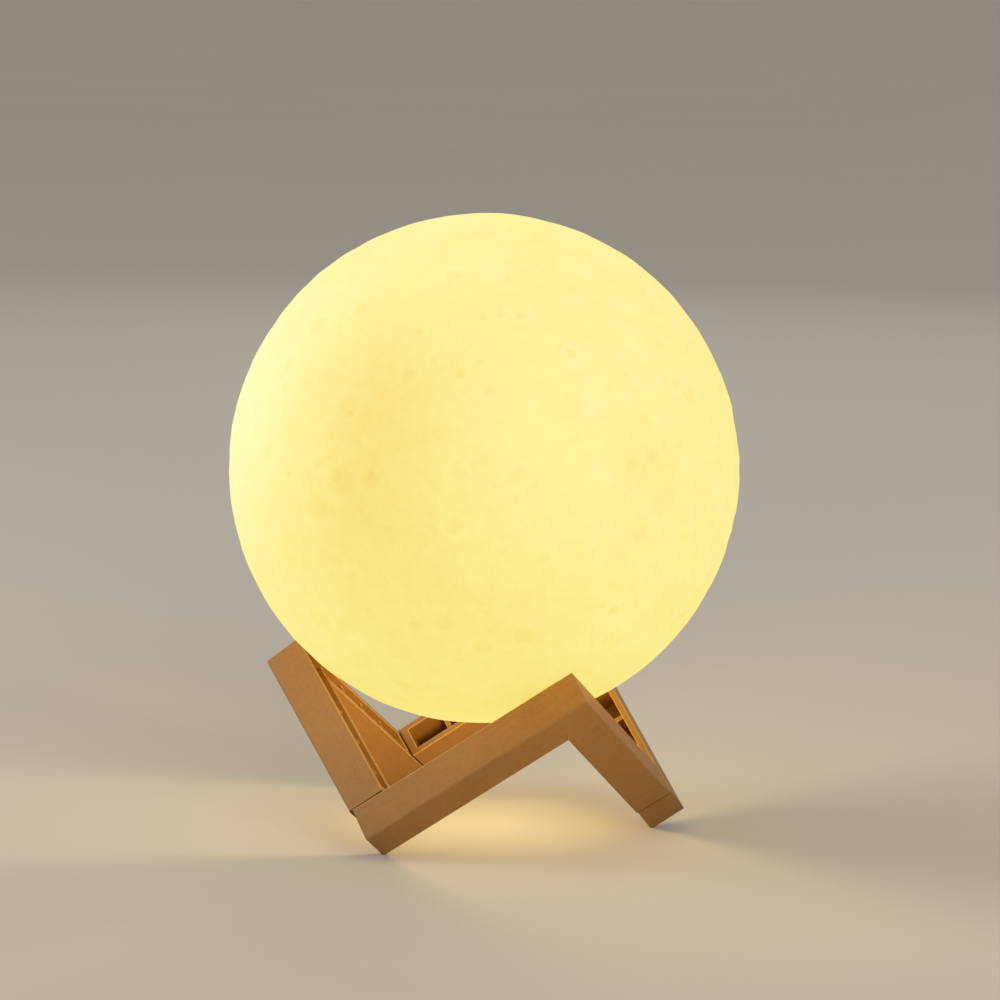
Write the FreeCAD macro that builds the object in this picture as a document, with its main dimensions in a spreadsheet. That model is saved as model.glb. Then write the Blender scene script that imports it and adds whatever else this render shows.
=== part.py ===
"""Moon lamp: a hollow printed moon with its lamp module, resting on a stand of three L-shaped legs.

Millimetres, +Z up. The origin lies on the moon's vertical axis at the level that the feet stand on,
and -Y is the front, where the first leg has its raised corner.
"""
import FreeCAD, Part
import os
import re
import Sketcher

SIZES = (
    # The stand: three equal L-shaped legs along the edges of one cube that stands on its corner.
    ("leg_side", 75.0, "outside length of each arm of a leg"),
    ("leg_thick", 11.6, "width and depth of an arm"),
    ("leg_lean", 2.7, "outward lean of each leg, in degrees"),
    ("leg_wall", 1.8, "side walls of the open channel"),
    ("leg_skin", 1.8, "closed outer face of the channel"),
    ("rib_thick", 1.4, "cross ribs in the channel"),
    ("rib_drop", 1.3, "rib tops below the channel's rim"),
    ("rib_pitch", 12.6, "from one rib to the next"),
    ("long_rib_first", 9.0, "first rib of the long arm, past the foot"),
    ("short_rib_first", 12.9, "first rib of the short arm, past its end"),
    ("long_ribs", 4, "ribs in the long arm"),
    ("short_ribs", 3, "ribs in the short arm"),
    ("tenon_length", 5.0, "peg of a short arm, into the next leg's foot"),
    ("tenon_root", 1.1, "how deep the peg's root lies in its own end wall"),
    ("tenon_gap", 0.2, "clearance round the peg"),
    ("shoulder_gap", 0.3, "seam between a short arm and the next leg's foot"),
    ("edge_round", 0.7, "rounding of the legs' outer edges"),
    ("foot_flat", 0.8, "how much of each foot corner is worn flat"),
    # The moon.
    ("globe_radius", 75.0, "outside radius of the moon"),
    ("globe_wall", 2.0, "printed wall"),
    ("seat_gap", 0.25, "between the moon and the three raised corners"),
    ("flat_radius", 19.5, "flat face under the moon"),
    ("neck_radius", 16.6, "opening above the flange's recess"),
    ("neck_wall", 2.0, "collar round the opening"),
    ("neck_height", 8.0, "collar's height inside the moon"),
    ("crater_count", 36, "larger dishes in the surface"),
    ("crater_depth", 0.45, "depth of the smallest dish"),
    ("crater_growth", 0.5, "extra depth of the largest dish"),
    ("crater_ball", 11.0, "radius of the ball that leaves a dish"),
    ("crater_top", 0.86, "height of the highest dish, as a share of the radius"),
    ("crater_span", 1.62, "drop from the highest dish to the lowest, as a share of the radius"),
    # The lamp module in the neck.
    ("fit_gap", 0.15, "between the housing and the neck"),
    ("housing_wall", 1.6, "housing tube"),
    ("housing_height", 48.0, "from the flange's seat to the housing's top"),
    ("floor_thick", 1.6, "housing's top, under the light board"),
    ("flange_radius", 18.4, "flange, flush in its recess"),
    ("flange_thick", 1.6, "flange"),
    ("post_ring", 12.4, "distance of the screw posts from the axis"),
    ("post_radius", 2.7, "screw posts"),
    ("post_count", 3, "screw posts"),
    ("cover_gap", 0.1, "round the base cover"),
    ("cover_thick", 1.6, "base cover"),
    ("touch_radius", 6.5, "metal touch plate"),
    ("touch_thick", 0.8, "metal touch plate"),
    ("contact_radius", 1.1, "contact pin behind the touch plate"),
    ("slide_gap", 0.1, "clearance round small pieces in their holes"),
    ("pipe_radius", 1.0, "light pipe of the charging light"),
    ("pipe_collar", 0.7, "collar of the light pipe"),
    ("pipe_across", 6.0, "light pipe's place, across"),
    ("pipe_along", 8.0, "light pipe's place, along"),
    ("signal_length", 2.0, "charging light"),
    ("signal_width", 1.3, "charging light"),
    ("signal_height", 0.8, "charging light"),
    ("signal_gap", 0.2, "between the charging light and its pipe"),
    ("board_level", 5.0, "control board's lower face above the flange's seat"),
    ("board_radius", 14.4, "control board"),
    ("board_thick", 1.2, "control board"),
    ("boss_height", 4.0, "bosses that hold the control board"),
    ("socket_width", 7.5, "charging socket"),
    ("socket_depth", 2.6, "charging socket"),
    ("socket_wall", 0.3, "charging socket's sheet"),
    ("socket_along", 10.2, "charging socket's distance from the axis"),
    ("socket_inset", 0.2, "socket's mouth behind the cover's face"),
    ("tongue_width", 3.7, "charging socket's tongue"),
    ("tongue_thick", 0.7, "charging socket's tongue"),
    ("tongue_inset", 1.0, "tongue's tip behind the socket's mouth"),
    ("chip_ring", 8.0, "distance of the board's parts from the axis"),
    ("chip_side", 4.0, "touch circuit, charging circuit and coil"),
    ("chip_height", 1.5, "touch circuit and charging circuit"),
    ("coil_height", 2.2, "coil"),
    ("capacitor_radius", 2.0, "capacitor"),
    ("capacitor_height", 3.5, "capacitor"),
    ("cell_width", 17.0, "lithium cell"),
    ("cell_thick", 8.0, "lithium cell"),
    ("cell_room", 5.2, "between the control board and the cell"),
    ("cell_back", 1.5, "cell's middle behind the axis"),
    ("pad_thick", 1.0, "foam pad that holds the cell"),
    ("pad_inset", 1.5, "pad's edge inside the cell's edge"),
    ("light_board_radius", 15.8, "light board"),
    ("light_board_thick", 1.6, "light board"),
    ("light_count", 6, "lights in the ring"),
    ("light_ring", 8.2, "distance of the lights from the axis"),
    ("light_length", 3.5, "one light"),
    ("light_width", 2.8, "one light"),
    ("light_height", 0.7, "one light"),
    ("wire_radius", 0.6, "leads"),
    ("wire_end", 0.5, "how far a lead's end stands out of its board"),
    ("wire_spread", 2.2, "half the distance between two leads"),
    ("wire_along", 11.2, "distance of the light board's leads from the axis"),
    ("cell_wire_along", 3.0, "distance of the cell's leads from the cell's middle"),
    ("solder_radius", 1.1, "solder joints"),
    ("solder_height", 0.8, "solder joints"),
    ("screw_radius", 0.9, "screw thread"),
    ("screw_gap", 0.05, "round a screw in its hole"),
    ("screw_bite", 3.2, "screw's length past what it holds"),
    ("pilot_spare", 1.0, "hole past the tip of a screw"),
    ("head_radius", 1.7, "screw head"),
    ("head_height", 0.9, "screw head"),
    ("head_slot", 0.4, "slot in a screw head"),
)

# Lengths and places worked out from the sizes, in the order in which they build on each other.
DERIVED = (
    ("leg_inside", "leg_side - leg_thick"),
    ("channel_depth", "leg_thick - leg_skin"),
    ("tenon_width", "leg_thick - 2 * leg_wall - 2 * tenon_gap"),
    ("globe_level", "tip.z + sqrt((globe_radius + seat_gap)^2 - tip.x^2 - tip.y^2)"),
    ("flat_level", "globe_level - sqrt(globe_radius^2 - flat_radius^2)"),
    ("seat_level", "flat_level + flange_thick"),
    ("recess_radius", "flange_radius + fit_gap"),
    ("housing_radius", "neck_radius - fit_gap"),
    ("housing_bore", "housing_radius - housing_wall"),
    ("floor_level", "housing_height - floor_thick"),
    ("board_top", "board_level + board_thick"),
    ("cell_level", "board_top + cell_room"),
    ("light_level", "housing_height + light_board_thick"),
    ("pilot_radius", "screw_radius + screw_gap"),
    ("signal_level", "board_level - signal_height"),
)

LEG_NAMES = ("front", "right", "left")
THIRD = 120
POST_TURN = 90
BOSS_TURN = 30
BOSS_COUNT = 2
TOLERANCE = 0.001
GOLDEN_ANGLE = 137.508
DISH_STEP = 7
DISH_DEPTHS = 5
BOARD_PARTS = (("touch_circuit", 240, "chip_height"), ("charge_circuit", 300, "chip_height"),
               ("power_coil", 0, "coil_height"))
CAPACITOR_TURN = 180
SKETCH_ORIGIN = (-1, 1)
POINT_START = 1
POINT_CENTRE = 3

OWNERS = {alias: "Sizes" for alias, _, _ in SIZES}
OWNERS.update({name: "Derived" for name, _ in DERIVED})
OWNERS["tip"] = "Poses"
NAME_PATTERN = re.compile(r"\b(" + "|".join(sorted(OWNERS, key=len, reverse=True)) + r")\b")


def formula(text):
    """Give each size in a formula the name of the table that holds it."""
    return NAME_PATTERN.sub(lambda match: f"{OWNERS[match.group(1)]}.{match.group(1)}", str(text))


def value(doc, text):
    """Present value of a formula."""
    return float(doc.Sizes.evalExpression(formula(text)))


def bind(item, bindings):
    """Bind properties of an object to formulas of the sizes."""
    for path, text in bindings.items():
        item.setExpression(path, formula(text))
    return item


def make_sheet(doc):
    """Driving dimensions, one to a row."""
    sheet = doc.addObject("Spreadsheet::Sheet", "Sizes")
    for row, (alias, number, note) in enumerate(SIZES, start=1):
        sheet.set(f"A{row}", note)
        sheet.set(f"B{row}", str(number))
        sheet.setAlias(f"B{row}", alias)
    doc.recompute()


def leg_pose(index):
    """Formula of the placement that carries a leg from its own corner frame to its seat.

    The leg's three axes become the edges of a cube on its corner; the leg then leans outward about
    its lowest corner, and the three legs are a third of a turn apart.
    """
    reach = "(leg_side - leg_thick) * sqrt(2 / 3)"
    steps = (
        f"placement(vector(0; 0; 0); rotation(vector(0; 0; 1); {THIRD * index}))",
        f"placement(vector({reach} * cos(210); {reach} * sin(210); -foot_flat);"
        " rotation(vector(1; 0; 0); leg_lean))",
        "placement(vector(0; 0; 0); rotation(vector(0; 0; 1); -90))",
        "placement(vector(0; 0; 0); rotation(vector(0; 1; 0); -atan(sqrt(2))))",
        "placement(vector(0; 0; 0); rotation(vector(0; 0; 1); -45))",
        "placement(vector(leg_thick - leg_side; 0; 0); rotation(vector(0; 0; 1); 0))",
    )
    return " * ".join(steps)


def make_poses(doc):
    """Placements of the legs, and the raised corner on which the moon rests."""
    poses = doc.addObject("App::VarSet", "Poses")
    for index in range(len(LEG_NAMES)):
        poses.addProperty("App::PropertyPlacement", f"leg_{index}", "Poses")
        bind(poses, {f"leg_{index}": leg_pose(index)})
    doc.recompute()
    poses.addProperty("App::PropertyVector", "tip", "Poses")
    bind(poses, {"tip": "Poses.leg_0 * vector(leg_side; leg_side; leg_thick)"})
    doc.recompute()


def make_derived(doc):
    """Lengths and levels that follow from the sizes and from the legs' pose."""
    derived = doc.addObject("App::VarSet", "Derived")
    for name, text in DERIVED:
        derived.addProperty("App::PropertyFloat", name, "Lengths")
        bind(derived, {name: text})
    doc.recompute()


# ---------------------------------------------------------------- sketches and features


def add_sketch(body, name, plane="XY_Plane", level="0"):
    """Sketch on one of the body's own origin planes, raised to a level."""
    sketch = body.newObject("Sketcher::SketchObject", name)
    face = next(item for item in body.Origin.OriginFeatures if item.Role == plane)
    sketch.AttachmentSupport = (face, "")
    sketch.MapMode = "FlatFace"
    bind(sketch, {"AttachmentOffset.Base.z": level})
    return sketch


def pin_point(sketch, curve, point, across, along):
    """Fix a point of a sketch at formulas of the sizes."""
    for kind, text in (("DistanceX", across), ("DistanceY", along)):
        number = value(sketch.Document, text)
        constraint = Sketcher.Constraint(kind, *SKETCH_ORIGIN, curve, point, number)
        index = sketch.addConstraint(constraint)
        bind(sketch, {f"Constraints[{index}]": text})


def add_outline(sketch, corners):
    """Closed outline with straight sides through the corners."""
    doc = sketch.Document
    first = sketch.GeometryCount
    spots = [FreeCAD.Vector(value(doc, across), value(doc, along), 0) for across, along in corners]
    for spot, following in zip(spots, spots[1:] + spots[:1]):
        sketch.addGeometry(Part.LineSegment(spot, following), False)
    for index in range(len(corners)):
        following = (index + 1) % len(corners)
        sketch.addConstraint(Sketcher.Constraint("Coincident", first + index, 2, first + following, 1))
    for index, (across, along) in enumerate(corners):
        pin_point(sketch, first + index, POINT_START, across, along)
    return sketch


def add_rectangle(sketch, low, high):
    """Rectangle between two opposite corners."""
    corners = ((low[0], low[1]), (high[0], low[1]), (high[0], high[1]), (low[0], high[1]))
    return add_outline(sketch, corners)


def add_circle(sketch, across, along, radius):
    """Circle fixed at its centre."""
    doc = sketch.Document
    centre = FreeCAD.Vector(value(doc, across), value(doc, along), 0)
    circle = Part.Circle(centre, FreeCAD.Vector(0, 0, 1), value(doc, radius))
    curve = sketch.addGeometry(circle, False)
    index = sketch.addConstraint(Sketcher.Constraint("Radius", curve, value(doc, radius)))
    bind(sketch, {f"Constraints[{index}]": radius})
    pin_point(sketch, curve, POINT_CENTRE, across, along)
    return sketch


def add_pad(body, name, sketch, length):
    """Grow a sketch upwards."""
    pad = body.newObject("PartDesign::Pad", name)
    pad.Profile = sketch
    bind(pad, {"Length": length})
    return pad


def add_pocket(body, name, sketch, length, upwards=False):
    """Cut a sketch into the body, and make sure that it cut something."""
    doc = body.Document
    doc.recompute()
    before = body.Shape.Volume
    pocket = body.newObject("PartDesign::Pocket", name)
    pocket.Profile = sketch
    pocket.Reversed = upwards
    bind(pocket, {"Length": length})
    doc.recompute()
    if body.Shape.Volume >= before:
        raise RuntimeError(f"{body.Label}: {name} cuts nothing")
    return pocket


def add_copies(body, kind, name, features, axis, bindings):
    """Repeat features in a row or round the axis, and make the result the body's tip."""
    pattern = body.newObject(kind, name)
    pattern.Originals = features
    line = next(item for item in body.Origin.OriginFeatures if item.Role == axis)
    if kind == "PartDesign::PolarPattern":
        pattern.Axis = (line, [""])
    else:
        pattern.Direction = (line, [""])
    bind(pattern, bindings)
    body.Tip = pattern
    return pattern


def add_box(doc, name, low, high):
    """Block between two opposite corners."""
    block = doc.addObject("Part::Box", name)
    sides = {"Length": 0, "Width": 1, "Height": 2}
    bind(block, {side: f"({high[index]}) - ({low[index]})" for side, index in sides.items()})
    bind(block, {f"Placement.Base.{letter}": text for letter, text in zip("xyz", low)})
    return block


def add_cylinder(doc, name, radius, low, high, across="0", along="0"):
    """Upright round bar between two levels above the flange's seat."""
    rod = doc.addObject("Part::Cylinder", name)
    bind(rod, {"Radius": radius, "Height": f"({high}) - ({low})"})
    bind(rod, {"Placement.Base.x": across, "Placement.Base.y": along})
    bind(rod, {"Placement.Base.z": f"seat_level + ({low})"})
    return rod


def join(doc, name, pieces):
    """One solid out of pieces that meet."""
    fused = doc.addObject("Part::MultiFuse", name)
    fused.Shapes = pieces
    return fused


def cut(doc, name, base, tool):
    """Base without the tool."""
    result = doc.addObject("Part::Cut", name)
    result.Base = base
    result.Tool = tool
    return result


def group(doc, name, pieces):
    """Separate solids that are kept as one node."""
    compound = doc.addObject("Part::Compound", name)
    compound.Links = pieces
    return compound


def ring_spots(ring, count, start):
    """Formulas of places spread evenly on a circle round the axis."""
    turns = [f"{start} + {index} * 360 / {count}" for index in range(count)]
    return [(f"({ring}) * cos({turn})", f"({ring}) * sin({turn})") for turn in turns]


# ---------------------------------------------------------------- the stand


def make_leg_blank(doc, index):
    """An L-shaped moulding with an open channel, ribs and the mortise in its foot.

    The long arm rises from the foot to the raised corner, and the short arm runs back down from
    there. The channel opens towards the moon.
    """
    body = doc.addObject("PartDesign::Body", f"leg_blank_{LEG_NAMES[index]}")
    outline = add_sketch(body, f"leg_outline_{index}")
    add_outline(outline, (
        ("leg_inside", "0"), ("leg_side", "0"), ("leg_side", "leg_side"),
        ("leg_thick - tenon_root", "leg_side"), ("leg_thick - tenon_root", "leg_inside"),
        ("leg_inside", "leg_inside"),
    ))
    pad = add_pad(body, f"leg_block_{index}", outline, "leg_thick")
    doc.recompute()
    rounded = body.newObject("PartDesign::Fillet", f"leg_rounding_{index}")
    rounded.Base = (pad, outer_edges(doc, pad.Shape))
    bind(rounded, {"Radius": "edge_round"})
    channel = add_sketch(body, f"leg_channel_{index}", level="leg_thick")
    add_outline(channel, (
        ("leg_inside + leg_wall", "leg_thick"), ("leg_side - leg_wall", "leg_thick"),
        ("leg_side - leg_wall", "leg_side - leg_wall"),
        ("leg_thick + tenon_root + leg_wall / 2", "leg_side - leg_wall"),
        ("leg_thick + tenon_root + leg_wall / 2", "leg_inside + leg_wall"),
        ("leg_inside + leg_wall", "leg_inside + leg_wall"),
    ))
    add_rectangle(channel, ("leg_inside + leg_wall", "leg_wall"),
                  ("leg_side - leg_wall", "leg_thick - leg_wall"))
    add_pocket(body, f"leg_hollow_{index}", channel, "channel_depth")
    add_ribs(body, index)
    bind(body, {"Placement": f"Poses.leg_{index}"})
    return body


def outer_edges(doc, shape):
    """Edges round the closed outer face."""
    limit = value(doc, "leg_thick") / 2
    names = []
    for number, edge in enumerate(shape.Edges, start=1):
        middle = edge.BoundBox.Center
        if middle.z < limit and edge.BoundBox.ZLength < TOLERANCE:
            names.append(f"Edge{number}")
    return names


def add_ribs(body, index):
    """Cross ribs, in a row along each arm."""
    rib_low = "leg_inside + leg_wall / 2"
    rib_high = "leg_side - leg_wall / 2"
    height = "leg_thick - rib_drop - leg_skin / 2"
    long_first = "leg_thick + long_rib_first"
    short_first = "leg_thick + short_rib_first"
    rows = (
        ("long", "Y_Axis", (rib_low, long_first), (rib_high, f"{long_first} + rib_thick")),
        ("short", "X_Axis", (short_first, rib_low), (f"{short_first} + rib_thick", rib_high)),
    )
    for row, axis, low, high in rows:
        sketch = add_sketch(body, f"{row}_rib_outline_{index}", level="leg_skin / 2")
        add_rectangle(sketch, low, high)
        rib = add_pad(body, f"{row}_rib_{index}", sketch, height)
        body.Document.recompute()
        add_copies(body, "PartDesign::LinearPattern", f"{row}_rib_row_{index}", [rib], axis, {
            "Length": f"rib_pitch * ({row}_ribs - 1)", "Occurrences": f"{row}_ribs"})


def make_leg(doc, index):
    """A leg with its short arm cut to the next leg's foot and pegged into it."""
    name = LEG_NAMES[index]
    blank = make_leg_blank(doc, index)
    following = (index + 1) % len(LEG_NAMES)
    pose = f"Poses.leg_{following}"

    neighbour = doc.addObject("Part::Box", f"foot_envelope_{name}")
    bind(neighbour, {"Length": "2 * leg_thick", "Width": "leg_side", "Height": "2 * leg_thick"})
    bind(neighbour, {"Placement": f"{pose} * placement(vector(leg_inside - leg_thick / 2;"
                     " -leg_thick; shoulder_gap - leg_thick); rotation(vector(0; 0; 1); 0))"})

    tenon = doc.addObject("Part::Box", f"tenon_{name}")
    bind(tenon, {"Length": "tenon_width", "Width": "tenon_width"})
    bind(tenon, {"Height": "tenon_length + shoulder_gap + tenon_root"})
    bind(tenon, {"Placement": f"{pose} * placement(vector(leg_inside + leg_wall + tenon_gap;"
                 " leg_wall + tenon_gap; leg_thick - tenon_length); rotation(vector(0; 0; 1); 0))"})

    ground = doc.addObject("Part::Box", f"ground_{name}")
    bind(ground, {"Length": "4 * leg_side", "Width": "4 * leg_side", "Height": "leg_side"})
    bind(ground, {"Placement.Base.x": "-2 * leg_side", "Placement.Base.y": "-2 * leg_side"})
    bind(ground, {"Placement.Base.z": "-leg_side"})

    shouldered = cut(doc, f"leg_shoulder_{name}", blank, neighbour)
    pegged = join(doc, f"leg_pegged_{name}", [shouldered, tenon])
    return cut(doc, f"stand_leg_{name}", pegged, ground)


# ---------------------------------------------------------------- the moon


def make_moon_shell(doc):
    """Hollow ball, flat underneath, with a recess for the flange, a collar and dished craters."""
    outside = doc.addObject("Part::Sphere", "moon_outside")
    bind(outside, {"Radius": "globe_radius", "Angle1": "-acos(flat_radius / globe_radius)"})
    inside = doc.addObject("Part::Sphere", "moon_inside")
    bind(inside, {"Radius": "globe_radius - globe_wall"})
    for ball in (outside, inside):
        bind(ball, {"Placement.Base.z": "globe_level"})
    floor = add_cylinder(doc, "moon_floor", "flat_radius", "-flange_thick", "0")
    seat = add_cylinder(doc, "moon_seat", "recess_radius + globe_wall", "0", "globe_wall")
    collar = add_cylinder(doc, "moon_collar", "neck_radius + neck_wall", "0", "neck_height")
    opening = add_cylinder(doc, "moon_opening", "neck_radius", "-2 * flange_thick", "2 * neck_height")
    recess = add_cylinder(doc, "moon_recess", "recess_radius", "-2 * flange_thick", "0")
    hollow = cut(doc, "moon_hollow", outside, inside)
    walled = join(doc, "moon_walled", [hollow, floor, seat, collar])
    bored = cut(doc, "moon_bored", walled, join(doc, "moon_bore", [opening, recess]))
    return cut(doc, "moon_shell", bored, make_craters(doc))


def make_craters(doc):
    """Balls that leave a dish each, spread by the golden angle and clear of the flat face."""
    count = int(doc.Sizes.crater_count)
    balls = []
    for index in range(count):
        ball = doc.addObject("Part::Sphere", f"crater_{index + 1:02d}")
        slope = f"(crater_top - crater_span * {index / count})"
        turn = GOLDEN_ANGLE * index
        growth = (index * DISH_STEP % DISH_DEPTHS) / (DISH_DEPTHS - 1)
        reach = f"globe_radius + crater_ball - crater_depth - crater_growth * {growth}"
        level = f"({reach}) * {slope}"
        spread = f"({reach}) * sqrt(1 - {slope}^2)"
        bind(ball, {"Radius": "crater_ball"})
        bind(ball, {"Placement.Base.x": f"{spread} * cos({turn})"})
        bind(ball, {"Placement.Base.y": f"{spread} * sin({turn})"})
        bind(ball, {"Placement.Base.z": f"globe_level + {level}"})
        balls.append(ball)
    return group(doc, "craters", balls)


# ---------------------------------------------------------------- the lamp module


def module_body(doc, name):
    """Body whose own origin lies on the axis, at the level of the flange's seat."""
    body = doc.addObject("PartDesign::Body", name)
    bind(body, {"Placement.Base.z": "seat_level"})
    return body


def post_spots(doc):
    """Places of the screw posts, the first of them at the back."""
    return ring_spots("post_ring", int(doc.Sizes.post_count), POST_TURN)


def boss_spots(doc):
    """Places of the two bosses that hold the control board, half way between posts."""
    return ring_spots("post_ring", int(doc.Sizes.post_count), BOSS_TURN)[:BOSS_COUNT]


def lead_spots():
    """Places of the light board's two leads."""
    return [("-wire_along", "wire_spread"), ("-wire_along", "-wire_spread")]


def make_base_housing(doc):
    """Tube with a flange, closed at the top, with screw posts and two board bosses."""
    body = module_body(doc, "base_housing")
    profile = add_sketch(body, "housing_profile", "XZ_Plane")
    add_outline(profile, (
        ("housing_bore", "-flange_thick"), ("flange_radius", "-flange_thick"),
        ("flange_radius", "0"), ("housing_radius", "0"), ("housing_radius", "housing_height"),
        ("0", "housing_height"), ("0", "floor_level"), ("housing_bore", "floor_level"),
    ))
    turned = body.newObject("PartDesign::Revolution", "housing_turned")
    turned.Profile = profile
    turned.ReferenceAxis = (profile, ["V_Axis"])
    turned.Angle = 360

    posts = add_sketch(body, "housing_post_outline")
    for across, along in post_spots(doc):
        add_circle(posts, across, along, "post_radius")
    add_pad(body, "housing_posts", posts, "floor_level + floor_thick / 2")
    bosses = add_sketch(body, "housing_boss_outline", level="board_top")
    for across, along in boss_spots(doc):
        add_circle(bosses, across, along, "post_radius")
    add_pad(body, "housing_bosses", bosses, "boss_height")

    pilots = add_sketch(body, "housing_pilot_outline")
    for across, along in post_spots(doc):
        add_circle(pilots, across, along, "pilot_radius")
    add_pocket(body, "housing_pilots", pilots, "screw_bite + pilot_spare", upwards=True)
    boss_pilots = add_sketch(body, "housing_boss_pilot_outline", level="board_top")
    for across, along in boss_spots(doc):
        add_circle(boss_pilots, across, along, "pilot_radius")
    add_pocket(body, "housing_boss_pilots", boss_pilots, "(screw_bite + boss_height) / 2", upwards=True)
    top = add_sketch(body, "housing_top_outline", level="housing_height")
    for across, along in post_spots(doc):
        add_circle(top, across, along, "pilot_radius")
    add_pocket(body, "housing_top_pilots", top, "screw_bite + pilot_spare")
    leads = add_sketch(body, "housing_lead_outline", level="housing_height")
    for across, along in lead_spots():
        add_circle(leads, across, along, "wire_radius + slide_gap")
    add_pocket(body, "housing_lead_holes", leads, "2 * floor_thick")
    return body


def make_base_cover(doc):
    """Round plate that closes the housing, with its seat for the touch plate and its openings."""
    body = module_body(doc, "base_cover")
    disc = add_sketch(body, "cover_outline", level="-cover_thick")
    add_circle(disc, "0", "0", "housing_bore - cover_gap")
    add_pad(body, "cover_plate", disc, "cover_thick")
    seat = add_sketch(body, "cover_seat_outline", level="-cover_thick")
    add_circle(seat, "0", "0", "touch_radius + slide_gap")
    add_pocket(body, "cover_seat", seat, "touch_thick", upwards=True)
    heads = add_sketch(body, "cover_head_outline", level="-cover_thick")
    for across, along in post_spots(doc):
        add_circle(heads, across, along, "head_radius + slide_gap")
    add_pocket(body, "cover_head_seats", heads, "head_height", upwards=True)
    holes = add_sketch(body, "cover_hole_outline", level="-cover_thick")
    for across, along in post_spots(doc):
        add_circle(holes, across, along, "pilot_radius")
    add_circle(holes, "0", "0", "contact_radius + slide_gap")
    add_circle(holes, "pipe_across", "pipe_along", "pipe_radius + slide_gap")
    half = "socket_width / 2 + slide_gap"
    add_rectangle(holes, (f"-({half})", "-socket_along - socket_depth / 2 - slide_gap"),
                  (half, "-socket_along + socket_depth / 2 + slide_gap"))
    add_pocket(body, "cover_holes", holes, "cover_thick", upwards=True)
    return body


def make_control_board(doc):
    """Round board with a notch for each post and holes for its screws and contact."""
    body = module_body(doc, "control_board")
    disc = add_sketch(body, "board_outline", level="board_level")
    add_circle(disc, "0", "0", "board_radius")
    add_pad(body, "board_plate", disc, "board_thick")
    notches = add_sketch(body, "board_notch_outline", level="board_level")
    for across, along in post_spots(doc):
        add_circle(notches, across, along, "post_radius + slide_gap")
    add_pocket(body, "board_notches", notches, "board_thick", upwards=True)
    holes = add_sketch(body, "board_hole_outline", level="board_level")
    for across, along in boss_spots(doc):
        add_circle(holes, across, along, "pilot_radius")
    for across, along in lead_spots() + cell_lead_spots():
        add_circle(holes, across, along, "wire_radius + slide_gap")
    add_pocket(body, "board_holes", holes, "board_thick", upwards=True)
    return body


def cell_lead_spots():
    """Places of the cell's two leads."""
    along = "cell_back + cell_wire_along"
    return [("wire_spread", along), ("-wire_spread", along)]


def make_light_board(doc):
    """Round metal board on the housing's top."""
    body = module_body(doc, "light_board")
    disc = add_sketch(body, "light_board_outline", level="housing_height")
    add_circle(disc, "0", "0", "light_board_radius")
    add_pad(body, "light_board_plate", disc, "light_board_thick")
    holes = add_sketch(body, "light_board_hole_outline", level="housing_height")
    for across, along in post_spots(doc):
        add_circle(holes, across, along, "pilot_radius")
    for across, along in lead_spots():
        add_circle(holes, across, along, "wire_radius + slide_gap")
    add_pocket(body, "light_board_holes", holes, "light_board_thick", upwards=True)
    return body


def make_lights(doc):
    """A ring of small square lights and one in the middle, on the light board."""
    spots = ring_spots("light_ring", int(doc.Sizes.light_count), 0) + [("0", "0")]
    lights = []
    for index, (across, along) in enumerate(spots):
        low = (f"{across} - light_length / 2", f"{along} - light_width / 2",
               "seat_level + light_level")
        high = (f"{across} + light_length / 2", f"{along} + light_width / 2",
                "seat_level + light_level + light_height")
        lights.append(add_box(doc, f"light_{index + 1}", low, high))
    return group(doc, "light_chips", lights)


def make_screws(doc, name, spots, seat, held, upwards):
    """Slotted screws on a seat: the thread passes what is held and bites beyond it."""
    screws = []
    way = 1 if upwards else -1
    for index, (across, along) in enumerate(spots):
        tag = f"{name}_{index + 1}"
        tip = f"({seat}) + {way} * (({held}) + screw_bite)"
        back = f"({seat}) - {way} * head_height"
        slot = f"({seat}) - {way} * head_height / 2"
        levels = (seat, tip) if upwards else (tip, seat)
        thread = add_cylinder(doc, f"{tag}_thread", "screw_radius", *levels, across, along)
        levels = (back, seat) if upwards else (seat, back)
        head = add_cylinder(doc, f"{tag}_head", "head_radius", *levels, across, along)
        screw = join(doc, f"{tag}_blank", [thread, head])
        levels = (back, slot) if upwards else (slot, back)
        groove = add_box(
            doc, f"{tag}_slot",
            (f"{across} - head_radius", f"{along} - head_slot / 2", f"seat_level + {levels[0]}"),
            (f"{across} + head_radius", f"{along} + head_slot / 2", f"seat_level + {levels[1]}"))
        screws.append(cut(doc, tag, screw, groove))
    return group(doc, name, screws)


def make_leads(doc, name, spots, low, high, joint, joint_upwards):
    """Upright leads, each with its solder joint on a board's face."""
    leads = []
    for index, (across, along) in enumerate(spots):
        tag = f"{name}_{index + 1}"
        wire = add_cylinder(doc, f"{tag}_wire", "wire_radius", low, high, across, along)
        solder = doc.addObject("Part::Cone", f"{tag}_solder")
        wide, narrow = ("Radius1", "Radius2") if joint_upwards else ("Radius2", "Radius1")
        base = joint if joint_upwards else f"({joint}) - solder_height"
        bind(solder, {wide: "solder_radius", narrow: "wire_radius + slide_gap"})
        bind(solder, {"Height": "solder_height"})
        bind(solder, {"Placement.Base.x": across, "Placement.Base.y": along})
        bind(solder, {"Placement.Base.z": f"seat_level + {base}"})
        leads.append(join(doc, tag, [wire, solder]))
    return group(doc, name, leads)


def make_touch_plate(doc):
    """Round metal plate that is touched to switch the lamp."""
    return add_cylinder(doc, "touch_plate", "touch_radius", "-cover_thick",
                        "-cover_thick + touch_thick")


def make_touch_contact(doc):
    """Sprung pin from the control board to the touch plate, with its wider barrel."""
    pin = add_cylinder(doc, "contact_pin", "contact_radius", "-cover_thick + touch_thick",
                       "board_level")
    barrel = add_cylinder(doc, "contact_barrel", "contact_radius + pipe_collar",
                          "board_level / 2", "board_level")
    return join(doc, "touch_contact", [pin, barrel])


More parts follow.
